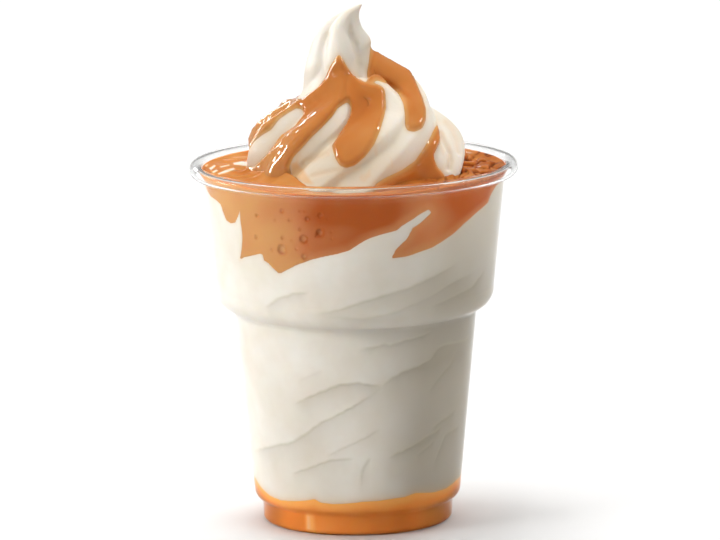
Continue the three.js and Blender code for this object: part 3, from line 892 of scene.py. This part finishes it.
def settled(values, edges, free, pull, rounds=150):
    """Values at points, of which the free ones settle like a taut skin held by the others.

    The skin is also pulled back to where it was. This solves for it by conjugate gradients.
    """
    field = np.array(values, float).reshape(len(values), -1)
    near = edges[free[edges].any(1)]
    a, b = near.T
    number = (np.bincount(near.ravel(), minlength=len(field)) + pull)[:, None]

    def tension(state):
        return np.where(free[:, None], number * state - neighbour_sums(state, a, b), 0)

    left = np.where(free[:, None], pull * field, 0) - tension(field)
    way = left.copy()
    size = (left**2).sum(0)
    for _ in range(rounds):
        pulled = tension(way)
        step = size / np.maximum((way * pulled).sum(0), 1e-12)
        field += step * way
        left -= step * pulled
        before, size = size, (left**2).sum(0)
        way = left + size / np.maximum(before, 1e-12) * way
    return field.reshape(np.shape(values))


def normals_of(points, quads):
    p = points[quads]
    face = np.cross(p[:, 2] - p[:, 0], p[:, 3] - p[:, 1])
    total = np.zeros_like(points)
    for k in range(4):
        for axis in range(3):
            total[:, axis] += np.bincount(quads[:, k], face[:, axis], len(points))
    return total / np.maximum(np.linalg.norm(total, axis=1), 1e-9)[:, None]


def facing_camera(points, normals):
    return ((np.array(CAMERA_AT) - points) * normals).sum(1) > 0


def seen_by_camera(points, normals, tree):
    """True for points of the swirl that the camera sees."""
    eye = Vector(CAMERA_AT)
    seen = facing_camera(points, normals)
    for i in np.nonzero(seen)[0]:
        start = Vector(points[i] + normals[i] * SIGHT_START)
        seen[i] = tree.ray_cast(start, (eye - start).normalized(), SIGHT_LENGTH)[0] is None
    return seen


def skin_tree(points, quads):
    return BVHTree.FromPolygons(points.tolist(), quads.tolist())


def pressed_folds(points, quads):
    """The swirl with its folds pressed in, where they are in the picture."""
    normals = normals_of(points, quads)
    facing = facing_camera(points, normals)
    x, y = to_picture(points).T
    depth = np.zeros(len(points))
    for deep, line in SWIRL_FOLDS:
        away, _ = from_line(x, y, line)
        depth += deep * bell(away * MM_PER_PIXEL, FOLD_REACH) * facing
    return points - normals * depth[:, None]


def bridged(points, quads, edges):
    """The swirl with a taut skin over its narrowest clefts, which piped ice cream would close."""
    at = to_picture(points)
    front = points[:, 1] < FRONT_HALF
    free = (outline_distance(at, CLEFT) > 0) & front
    near = np.nonzero((outline_distance(at, POCKET) > 0) & front)[0]
    seen = seen_by_camera(points[near], normals_of(points, quads)[near], skin_tree(points, quads))
    free[near[~seen]] = True
    return settled(points, edges, free, CLEFT_PULL)


def swirl_skin():
    """The swirl's points, its quads and its edges."""
    parts = [core_rings()] + [ridge_rings(ridge) for ridge in RIDGES]
    points, quads = remeshed(parts, SWIRL_VOXEL)
    used, quads = compacted(quads[in_large_part(quads)])
    points = points[used]
    edges = np.unique(np.sort(sides_of(quads), axis=1), axis=0)
    points = pressed_folds(relaxed(points, edges, 3), quads)
    return bridged(points, quads, edges), quads, edges


def groove_shade(points, quads, edges):
    """How much painted shade darkens the swirl, from 0 to 1: deep in grooves between ridges, low down, most
    at the front left, and less at the lower right.
    """
    x, y, z = points.T
    sunk = ((relaxed(points, edges, 40) - points) * normals_of(points, quads)).sum(1)
    low = 1 - smoothstep(108, 127, z)
    front_left = smoothstep(15, 5, x) * smoothstep(5, 20, -y)
    deep = 0.8 * smoothstep(-0.1, 0.8, relaxed(sunk, edges, 10)) + (0.55 + 0.22 * front_left) * low
    clean = smoothstep(12, 18, x) * smoothstep(0, 10, -y)
    return np.clip(deep * (1 - 0.75 * clean), 0, 1)


def tinted(points):
    """Where the front of the swirl is tinted with sauce colour, from 0 to 1: films of sauce, a painted
    reflection of the sauce, and painted shade along the folds.
    """
    at = to_picture(points)
    tint = np.zeros(len(points))
    for strength, outline in TINTS:
        tint = np.maximum(tint, strength * smoothstep(-2.5, 2.5, outline_distance(at, outline)))
    for _, line in SWIRL_FOLDS:
        away, _ = from_line(*at.T, line)
        # painted shade along the swirl's folds
        tint = np.maximum(tint, 0.22 * bell(away * MM_PER_PIXEL, FOLD_TINT_REACH))
    return np.where(points[:, 1] < FRONT_HALF, tint, 0)


# ------------ the sauce on the swirl

# Outlines of the sauce on the side of the swirl that the picture shows, in pixels.
SAUCE_OUTLINES = [
    # from the horn's foot down the groove on the left and into the tongue in the middle
    [(338, 54), (341, 56), (347.5, 67), (354, 76.6), (365, 82), (372, 83.5), (379, 84.5), (384, 88),
     (385.5, 95), (386, 108), (384, 117), (380, 131), (374, 145), (366, 156), (355, 165.5), (346, 168.4),
     (340, 166), (335, 158), (331.6, 146), (333, 143.5), (337, 137.5), (344, 128), (350, 117),
     (351.5, 108), (347.5, 101.5), (338, 108), (332, 117), (322.5, 127), (313, 136), (302, 148),
     (293, 158), (289.5, 166), (291, 174), (290, 179), (286, 181.5), (286, 190), (240, 190),
     (240, 168), (255, 166), (268.6, 153), (280, 137.5), (294, 128), (304, 116), (303, 110), (297, 108),
     (289, 112.5), (279.5, 119), (271, 130), (261, 136), (254, 142), (248, 152), (240, 166), (230, 160),
     (236, 140), (247, 125), (262, 110), (280, 101), (297, 98), (304, 99), (308, 94.5), (318, 87.5),
     (325, 78), (330, 66)],
    # the tongue on the right
    [(373, 37), (370.5, 43), (370, 50), (368.6, 62.5), (367, 73), (367.5, 82), (370, 84), (377, 80.5),
     (388, 84), (397.5, 92), (403, 103), (405, 116), (405, 125), (407.5, 131), (415, 132),
     (422.5, 128.5), (426, 120), (426, 109), (422.5, 97), (417, 84), (412, 73), (409.5, 66), (412, 58),
     (398, 42), (384, 34)],
    # the flow at the lower right
    [(437, 123), (431, 136), (422.5, 150), (415, 161), (402, 170), (385, 178), (374, 185), (374, 196),
     (450, 196), (444, 174), (437, 166), (433, 156), (437, 148), (440.5, 141), (439, 134)],
]
# The sauce out of the picture: the ridge that it starts from, how far it lies towards the next one at
# the top and at the bottom, the shares of the ridge's way between which it runs, its half widths from
# top to bottom, and for some an angle and a height on the horn where it starts.
STREAMS = [
    {"ridge": 0, "towards": [0.8, 0.3], "shares": [0.84, 0.06], "widths": [3, 4, 4, 4, 3.6]},
    {"ridge": 1, "towards": [0.75, 0.5], "shares": [0.9, 0], "widths": [4.6, 4.4, 4.4, 4.8, 6]},
    {"ridge": 3, "towards": [0.6, 0.9], "shares": [0.94, 0.66], "widths": [6, 5.4, 4.4, 3.2, 1.4],
     "horn": (78, 141)},
    {"ridge": 4, "towards": [0.16, 0.4], "shares": [0.46, 0], "widths": [1, 2.2, 3.4, 5, 7]},
    {"ridge": 5, "towards": [0.5, 0.5], "shares": [0.92, 0], "widths": [2.4, 3.4, 4, 4.4, 6],
     "horn": (134, 139)},
    {"ridge": 6, "towards": [0.5, 0.6], "shares": [0.94, 0.24], "widths": [4, 4.4, 4.2, 4.6, 2.4]},
    {"ridge": 7, "towards": [0.5, 0.5], "shares": [0.86, 0], "widths": [2.6, 3.6, 4, 4.6, 6.4]},
]
# Sauce round the horn's foot: angle, height, half width
COLLAR = [(40, 129, 3), (70, 131.6, 3), (110, 133, 3.4), (150, 131.6, 3), (200, 130, 3)]
STREAM_STEPS = 40
STREAM_TIP = 1.0
STREAM_SUNK = 1.2
REACH = 2.5  # the most that a distance from the sauce's edge counts, on either side of it
TAUTNESS = 0.0006  # how weakly the sauce in a groove clings to the ice cream under it
SMOOTHNESS = 0.06
SMOOTH_ROUNDS = 40
SAUCE_THICKNESS = 1.25
SAUCE_EDGE = 1.5  # width over which the sauce swells to its thickness
SAUCE_ROOT = 1.1  # how far into the ice cream its underside lies
EDGE_FILM = (0.5, 0.5)  # how strongly the ice cream is tinted at the sauce's edge, and how far from it
SKIN_MARGIN = 0.9  # how far past the sauce's edge its skin goes on, in the ice cream
RIPPLE = 0.24
STREAMS_END = 98.5  # height


def stream_places(stream):
    """The places along a stream, between one ridge and the next."""
    first, second = RIDGES[stream["ridge"]], RIDGES[stream["ridge"] + 1]
    places = []
    for down, half in zip(np.linspace(0, 1, len(stream["widths"])), stream["widths"]):
        towards = mix(*stream["towards"], down)
        between = {key: mix(first[key], second[key], towards) for key in RIDGE_WAY}
        at, face, _ = on_skirt({**between, "foot": 0}, mix(*stream["shares"], down))
        places.append((at, face, half))
    if "horn" in stream:
        at, face, _ = on_horn(*stream["horn"])
        places.insert(0, (at, face, STREAM_TIP))
    return places


def stream_distance(points):
    """How far inside the streams out of the picture points of the swirl are."""
    lines = [stream_places(stream) for stream in STREAMS]
    lines.append([on_horn(angle, height)[:2] + (half,) for angle, height, half in COLLAR])
    best = np.full(len(points), -REACH)
    for line in lines:
        at, out, _, half = sweep_frames(line, STREAM_STEPS)
        for middle, width in zip(at - out * STREAM_SUNK, half):
            best = np.maximum(best, width - np.linalg.norm(points - middle, axis=1))
    return best


def sauce_reach(points, normals, edges, tree):
    """How far inside the sauce's edge each point of the swirl is; less than 0 is outside."""
    seen = seen_by_camera(points, normals, tree)
    at = to_picture(points)
    shown = np.max([outline_distance(at, outline) for outline in SAUCE_OUTLINES], axis=0) * MM_PER_PIXEL
    inside = np.clip(np.where(seen, shown, stream_distance(points)), -REACH, REACH)
    folded = ~seen & (points[:, 1] < FRONT_HALF)
    return relaxed(settled(inside, edges, folded, 0), edges, 5)


def sauce_surface(points, quads, edges, inside):
    """The sauce's surface over the swirl's points, its thickness there, and how deep a groove it fills."""
    normals = normals_of(points, quads)
    filled = settled(points, edges, inside > 0, TAUTNESS)
    raised = ((filled - points) * normals).sum(1)
    over = smoothstep(-0.2, 1.6, inside) * smoothstep(-0.6, 0.2, raised)
    lift = SAUCE_THICKNESS * np.sin(np.pi / 2 * np.clip(inside / SAUCE_EDGE, -0.6, 1))
    ripple = noise_at(points, 0.3) + 0.35 * noise_at(points, 0.6, 9.0)
    lift += RIPPLE * ripple * smoothstep(0.2, 1.2, inside) * (0.3 + smoothstep(-4, -20, points[:, 0]))
    top = mix(points, filled, over[:, None])
    top = settled(top, edges, inside > 0.3, SMOOTHNESS, SMOOTH_ROUNDS)
    sunk = ((points - top) * normals).sum(1)
    top += normals * np.maximum(0, sunk - 0.2)[:, None]
    top += normals_of(top, quads) * lift[:, None]
    return top, lift, over * np.linalg.norm(filled - points, axis=1)


def stream_depth(points, lift, groove):
    """How dark the sauce on the swirl is: pale on the left, with dark patches low on the right."""
    x, y, z = points.T
    depth = np.clip(1.5 * lift / SAUCE_THICKNESS, 0, 1) - 0.1 + 0.12 * groove
    depth -= 0.45 * smoothstep(-12, -24, x)
    low_right = smoothstep(104.5, 100.5, z) * smoothstep(14, 26, x)
    depth += low_right * (1.3 + 0.9 * noise_at(points, 0.35, 4.0)) * (y < 0)
    return np.maximum(depth, -0.15)


def shell_faces(faces, count):
    """Faces of a closed shell: its upper skin, the same turned over below it, and a wall along the rims."""
    sides = sides_of(faces)
    forwards = sides[:, 0] * count + sides[:, 1]
    backwards = sides[:, 1] * count + sides[:, 0]
    rim = sides[~np.isin(forwards, backwards)]
    walls = np.concatenate([rim[:, ::-1], rim + count], axis=1)
    return np.concatenate([faces, faces[:, ::-1] + count, walls])


def make_streams(points, quads, edges, inside):
    """The sauce on the swirl, as a skin over it with swelling edges."""
    top, lift, groove = sauce_surface(points, quads, edges, inside)
    kept = (inside[quads] > -SKIN_MARGIN).any(1) & (points[quads][:, :, 2] > STREAMS_END).all(1)
    faces = quads[kept]
    used, faces = compacted(faces[in_large_part(faces)])
    under = points - normals_of(points, quads) * SAUCE_ROOT
    skin = shell_faces(faces, len(used))
    made = make_object("caramel_streams", np.concatenate([top[used], under[used]]), skin.tolist())
    set_attribute(made, "depth", np.tile(stream_depth(points, lift, groove)[used], 2))
    return made


# ------------ materials


class Nodes:
    """The nodes of a material or of the world, with short ways to add to them."""

    def __init__(self, owner):
        owner.use_nodes = True
        self.tree = owner.node_tree

    def __getitem__(self, name):
        return self.tree.nodes[name]

    def set(self, node, inputs):
        """Gives a node's inputs a number, a colour or the output of another node."""
        for name, value in inputs.items():
            socket = node.inputs[name]
            if isinstance(value, bpy.types.NodeSocket):
                self.tree.links.new(value, socket)
            elif socket.type == "RGBA":
                socket.default_value = (*value, 1)
            else:
                socket.default_value = value
        return node

    def add(self, kind, inputs=None):
        return self.set(self.tree.nodes.new("ShaderNode" + kind), inputs or {})

    def noise(self, scale, detail, stretch=(1, 1, 1)):
        """A noise from 0 to 1 in the object's own metres."""
        place = self.add("TexCoord").outputs["Object"]
        mapped = self.add("Mapping", {"Vector": place, "Scale": stretch}).outputs["Vector"]
        return self.add("TexNoise", {"Vector": mapped, "Scale": scale, "Detail": detail}).outputs["Fac"]

    def attribute(self, name):
        node = self.add("Attribute")
        node.attribute_name = name
        return node.outputs["Fac"]

    def math(self, operation, first, second):
        node = self.add("Math", {0: first, 1: second})
        node.operation = operation
        return node.outputs["Value"]

    def mixed(self, share, first, second):
        """A colour between two, each a colour or an output."""
        node = self.add("Mix")
        node.data_type = "RGBA"
        self.set(node, {0: share, 6: first, 7: second})
        return node.outputs[2]

    def ranged(self, value, low, high, start=0.0, end=1.0):
        """A value mapped from one range to another and kept inside it."""
        limits = {"From Min": low, "From Max": high, "To Min": start, "To Max": end}
        return self.add("MapRange", {"Value": value, **limits}).outputs["Result"]


CREAM = (0.80, 0.75, 0.665)
CREAM_DEEP = (0.75, 0.69, 0.59)
# Painted shade for the swirl's hollows and its lower part
PAINTED_HOLLOW_SHADE = (0.66, 0.56, 0.42)
CUP_CREAM = (0.82, 0.78, 0.71)
# Painted shade in the creases of the folds
PAINTED_CREASE_SHADE = (0.56, 0.52, 0.38)
# Painted shade for the right of the wall's ice cream and below its folds, with a random tone
SHADE_AND_TONE = (0.46, 0.41, 0.325)
STAIN = (0.72, 0.42, 0.17)
CREAM_SCATTER = {"Subsurface Weight": 0.5, "Subsurface Radius": (1, 0.75, 0.5), "Subsurface Scale": 0.0015}
# Colours of the sauce where it is thin, where it is of middle thickness, and where it is deep
OPEN_SAUCE = ((0.66, 0.35, 0.12), (0.51, 0.162, 0.029), (0.30, 0.07, 0.014))
WALL_SAUCE = ((0.62, 0.32, 0.12), (0.55, 0.205, 0.08), (0.42, 0.095, 0.018))
# The sauce in the foot has brighter colours than the other sauce, painted light for the glow of light
# through it.
FOOT_SAUCE = ((0.95, 0.44, 0.12), (0.86, 0.27, 0.05), (0.45, 0.13, 0.015))
CRACK = (0.14, 0.04, 0.01)
SAUCE_SCATTER = {"Subsurface Weight": 0.35, "Subsurface Radius": (1, 0.35, 0.1), "Subsurface Scale": 0.0015}
PLASTIC = (0.97, 0.975, 0.975)
PLASTIC_SHADE = (0.95, 0.955, 0.955)
FLOOR = (0.8, 0.8, 0.8)


def new_material(name):
    material = bpy.data.materials.new(name)
    nodes = Nodes(material)
    return material, nodes, nodes["Principled BSDF"]


def swirl_cream():
    """Soft serve in the open, with painted shade in its hollows and low down, streaks of sauce in the
    hollows, and a fine grain.
    """
    material, nodes, shader = new_material("ice_cream")
    crease_shade = nodes.attribute("crease_shade")
    cloud = nodes.noise(90, 3)
    colour = nodes.mixed(nodes.ranged(cloud, 0.3, 0.75), CREAM, CREAM_DEEP)
    # painted shade in the hollows and low on the swirl
    colour = nodes.mixed(crease_shade, colour, PAINTED_HOLLOW_SHADE)
    streak = nodes.ranged(nodes.noise(260, 2, (1, 1, 0.3)), 0.58, 0.75, 0, 0.5)
    colour = nodes.mixed(nodes.math("MULTIPLY", streak, crease_shade), colour, STAIN)
    colour = nodes.mixed(nodes.attribute("stain"), colour, STAIN)
    grain = nodes.noise(1500, 4)
    bump = nodes.add("Bump", {"Strength": 0.25, "Distance": 0.0002, "Height": grain})
    nodes.set(shader, {
        "Base Color": colour,
        "Roughness": nodes.ranged(grain, 0.3, 0.7, 0.42, 0.6),
        "Specular IOR Level": 0.4,
        "Normal": bump.outputs["Normal"],
        **CREAM_SCATTER,
    })
    return material


def cup_cream():
    """Soft serve pressed on the cup, where it has no surface of its own that could shine."""
    material, nodes, shader = new_material("ice_cream_in_cup")
    cloud = nodes.noise(90, 3)
    colour = nodes.mixed(nodes.ranged(cloud, 0.3, 0.75), CUP_CREAM, CREAM_DEEP)
    # painted shade on the right and below the folds with a random tone, painted shade in the creases, and a
    # stain of sauce
    for name, tone in (("weighting", SHADE_AND_TONE), ("crease_shade", PAINTED_CREASE_SHADE), ("stain", STAIN)):
        colour = nodes.mixed(nodes.attribute(name), colour, tone)
    nodes.set(shader, {"Base Color": colour, "Roughness": 0.6, "Specular IOR Level": 0.0, **CREAM_SCATTER})
    return material


def caramel_material(name, colours, gloss):
    """Caramel sauce by its depth: -1 is ice cream, 0 a film, 1 sauce, 2 thick and dark, 3 a crack."""
    material, nodes, shader = new_material(name)
    thin, middle, deep = colours
    depth, cloud = nodes.attribute("depth"), nodes.noise(60, 2)
    colour = nodes.mixed(nodes.ranged(depth, 0, 1), thin, middle)
    colour = nodes.mixed(nodes.ranged(depth, 1, 2), colour, deep)
    colour = nodes.mixed(nodes.ranged(cloud, 0.5, 0.8, 0, 0.3), colour, thin)
    colour = nodes.mixed(nodes.ranged(depth, 2, 3), colour, CRACK)
    colour = nodes.mixed(nodes.ranged(depth, -1, 0, 1, 0), colour, CREAM)
    nodes.set(shader, {
        "Base Color": colour,
        "Roughness": 0.08 if gloss else 0.4,
        "Specular IOR Level": gloss,
        **SAUCE_SCATTER,
    })
    return material


def clear_plastic(name, ior, clear):
    """Clear plastic that lets light through to what is behind it."""
    material, nodes, shader = new_material(name)
    nodes.set(shader, {"Base Color": PLASTIC, "Roughness": 0.02, "IOR": ior, "Transmission Weight": clear})
    see_through = nodes.add("BsdfTransparent", {"Color": PLASTIC_SHADE})
    mix_node = nodes.add("MixShader", {
        "Fac": nodes.add("LightPath").outputs["Is Shadow Ray"],
        1: shader.outputs["BSDF"],
        2: see_through.outputs["BSDF"],
    })
    nodes.set(nodes["Material Output"], {"Surface": mix_node.outputs["Shader"]})
    return material


# ------------ stage and light

FLOOR_HALF = 4000.0
SOFT_AIM = (0, 0, 0.08)  # metres, as all that follows here
SWIRL_AIM = (0.021, -0.022, 0.112)
# Soft lights by their place: name, place, aim, size, power
LAMPS = [
    ("overhead", (-0.3, 0.1, 2.0), (0, 0, 0), (0.7, 0.7), 17),
    ("backdrop", (0, 1.5, 1.3), (0, 1.0, 0), (2.5, 1.0), 20),
]
# Soft lights by their angles: name, angle round the cup, angle above it, distance, size, power
SOFTBOXES = [
    ("key", -60, 26, 1.0, (0.3, 0.6), 3.5),
    ("fill", 50, 52, 1.2, (0.4, 0.4), 1.2),
    ("back_right", 126, 58, 1.0, (0.35, 0.35), 2.2),
    ("back_left", -122, 42, 1.0, (0.3, 0.3), 1.0),
]
# Reflectors, which only glossy things show: name, angle round the cup, angle above it, size, brightness
GLEAMS = [
    ("front_gleam", -62, 30, (0.03, 0.45), 14),
    ("edge_gleam", -154, 16, (0.4, 0.07), 14),
    ("flow_gleam", -126, 24, (0.16, 0.08), 22),
    ("tip_gleam", -103, 18, (0.3, 0.35), 35),
    ("right_gleam", 98, 41, (0.12, 0.14), 35),
    ("drop_gleam", 46, 41, (0.06, 0.06), 40),
]


def make_stage():
    corners = np.array([(-1, -1, 0), (1, -1, 0), (1, 1, 0), (-1, 1, 0)]) * FLOOR_HALF
    floor = make_object("floor", corners, [(0, 1, 2, 3)])
    material, nodes, shader = new_material("floor")
    nodes.set(shader, {"Base Color": FLOOR, "Roughness": 0.9, "Specular IOR Level": 0.1})
    floor.data.materials.append(material)


def aimed_light(name, data, at, aim):
    """Puts a light in the scene, which glossy things don't mirror."""
    light = bpy.data.objects.new(name, data)
    light.location = at
    direction = Vector(aim) - Vector(at)
    light.rotation_euler = direction.to_track_quat("-Z", "Y").to_euler()
    light.visible_glossy = False
    bpy.context.scene.collection.objects.link(light)
    return light


def area_light(name, at, aim, size, power):
    data = bpy.data.lights.new(name, "AREA")
    data.shape = "RECTANGLE"
    data.size, data.size_y = size
    data.energy = power
    return aimed_light(name, data, at, aim)


def round_cup(azimuth, elevation, distance, middle):
    """A place at an angle round the cup and one above the middle of what is lit."""
    e = math.radians(elevation)
    return around(azimuth, distance * math.cos(e), middle + distance * math.sin(e))


def gleam(name, azimuth, elevation, size, brightness):
    power = brightness * math.pi * size[0] * size[1]
    light = area_light(name, round_cup(azimuth, elevation, 1.0, SOFT_AIM[2]), SOFT_AIM, size, power)
    light.visible_glossy = True
    light.visible_diffuse = False
    light.visible_transmission = False


def swirl_light():
    """A soft light with a snoot, so that it reaches the swirl and not the cup's side."""
    data = bpy.data.lights.new("swirl_fill", "SPOT")
    data.energy = 22
    data.shadow_soft_size = 0.03
    data.spot_size = math.radians(3.6)
    data.spot_blend = 1.0
    at = round_cup(azimuth=56, elevation=7, distance=0.9, middle=0.13)
    aimed_light("swirl_fill", data, at, SWIRL_AIM)


def make_world():
    """A plain pale surround, a little brighter overhead and along the horizon."""
    world = bpy.data.worlds.new("studio")
    nodes = Nodes(world)
    direction = nodes.add("TexCoord").outputs["Generated"]
    height = nodes.add("SeparateXYZ", {"Vector": direction}).outputs["Z"]
    sky = nodes.ranged(height, 0.0, 0.6, 0.17, 0.34)
    horizon = nodes.ranged(height, 0.0, 0.12, 0.6, 0.0)
    strength = nodes.math("ADD", sky, horizon)
    nodes.set(nodes["Background"], {"Color": (1, 0.985, 0.96), "Strength": strength})
    bpy.context.scene.world = world


def make_light():
    make_world()
    for row in LAMPS:
        area_light(*row)
    for name, azimuth, elevation, distance, size, power in SOFTBOXES:
        area_light(name, round_cup(azimuth, elevation, distance, SOFT_AIM[2]), SOFT_AIM, size, power)
    swirl_light()
    for row in GLEAMS:
        gleam(*row)
    view = bpy.context.scene.view_settings
    view.view_transform = "Standard"
    view.look = "None"


# ------------ putting it together

RIM_Z = MOUTH_Z + 1  # the cup's plastic is rim from here on


def dress(thing, material, node):
    thing.data.materials.append(material)
    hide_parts(node)
    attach(thing, "root")


def add_cup():
    cup = make_cup()
    dress(cup, clear_plastic("clear_plastic_wall", 1.16, 1.0), "cup")
    cup.data.materials.append(clear_plastic("clear_plastic_rim", 1.11, 0.985))
    heights = np.array([face.center.z for face in cup.data.polygons])
    cup.data.polygons.foreach_set("material_index", (heights > RIM_Z * MM).astype(int))


def add_swirl():
    """The swirl and the sauce on it; the pool needs its skin as a tree."""
    points, quads, edges = swirl_skin()
    tree = skin_tree(points, quads)
    inside = sauce_reach(points, normals_of(points, quads), edges, tree)
    streams = make_streams(points, quads, edges, inside)
    dress(streams, caramel_material("caramel", OPEN_SAUCE, 0.32), "caramel_topping")
    swirl = make_object("ice_cream_swirl", points, quads.tolist())
    # the stain: a film at the sauce's edge and the tints, among them a painted reflection of the sauce and
    # painted shade along the folds
    set_attribute(swirl, "stain", np.maximum(fading(-inside, *EDGE_FILM), tinted(points)))
    # painted shade in the swirl's grooves and low down on it
    set_attribute(swirl, "crease_shade", groove_shade(points, quads, edges))
    dress(swirl, swirl_cream(), "soft_serve")
    return tree


def add_pool(tree):
    """The pool is glossy on top and has no surface of its own on the wall."""
    pool, wall_faces = make_pool(tree)
    dress(pool, caramel_material("caramel_in_pool", OPEN_SAUCE, 0.04), "caramel_topping")
    pool.data.materials.append(caramel_material("caramel_in_cup", WALL_SAUCE, 0.0))
    for face in pool.data.polygons[:wall_faces]:
        face.material_index = 1


make_camera()
add_cup()
dress(make_fill(), cup_cream(), "soft_serve")
foot_caramel = caramel_material("caramel_at_foot", FOOT_SAUCE, 0.0)
dress(make_base_sauce(), foot_caramel, "caramel_base")
add_pool(add_swirl())
make_stage()
make_light()
